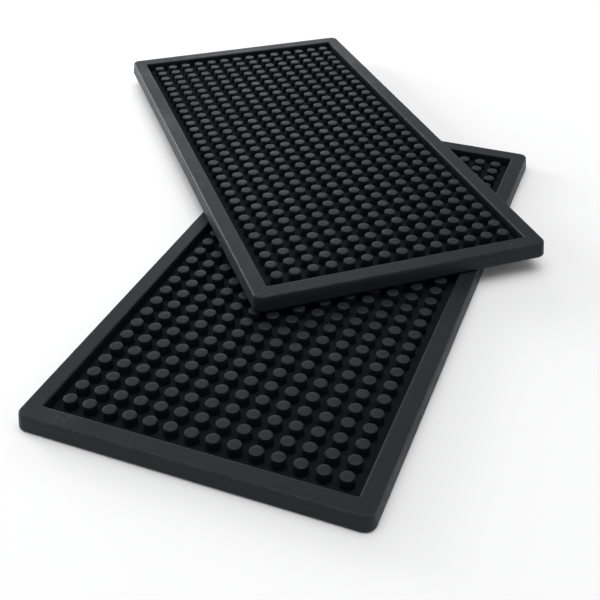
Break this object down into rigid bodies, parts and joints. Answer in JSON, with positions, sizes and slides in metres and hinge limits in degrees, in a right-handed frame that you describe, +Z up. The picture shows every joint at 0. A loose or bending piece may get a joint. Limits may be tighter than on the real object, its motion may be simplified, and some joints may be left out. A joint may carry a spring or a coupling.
{
  "type": "rubber bar mats",
  "caption": "Rectangular black rubber spill mat with a raised flat rim and a grid of round studs, lying crossed on an identical mat that it lifts off.",
  "frame": {"origin": "centre of the lower mat's underside", "axes": "+Z up, +Y along the length of the lower mat towards the end that the upper mat lies on, +X to the right across the lower mat"},
  "size_m": [0.307, 0.4242, 0.016],
  "materials": {
    "black_rubber": "satin moulded rubber, smooth on the rim and the stud tops, slightly duller between the studs"
  },
  "bodies": {
    "lower_mat": {"lower_sheet": "black_rubber", "lower_rim": "black_rubber", "lower_studs": "black_rubber"},
    "upper_mat": {"upper_sheet": "black_rubber", "upper_rim": "black_rubber", "upper_studs": "black_rubber"}
  },
  "joints": [
    {"name": "lift", "type": "slide", "parent": "lower_mat", "child": "upper_mat", "axis": [0, 0, 1], "range_m": [0, 0.11]}
  ]
}
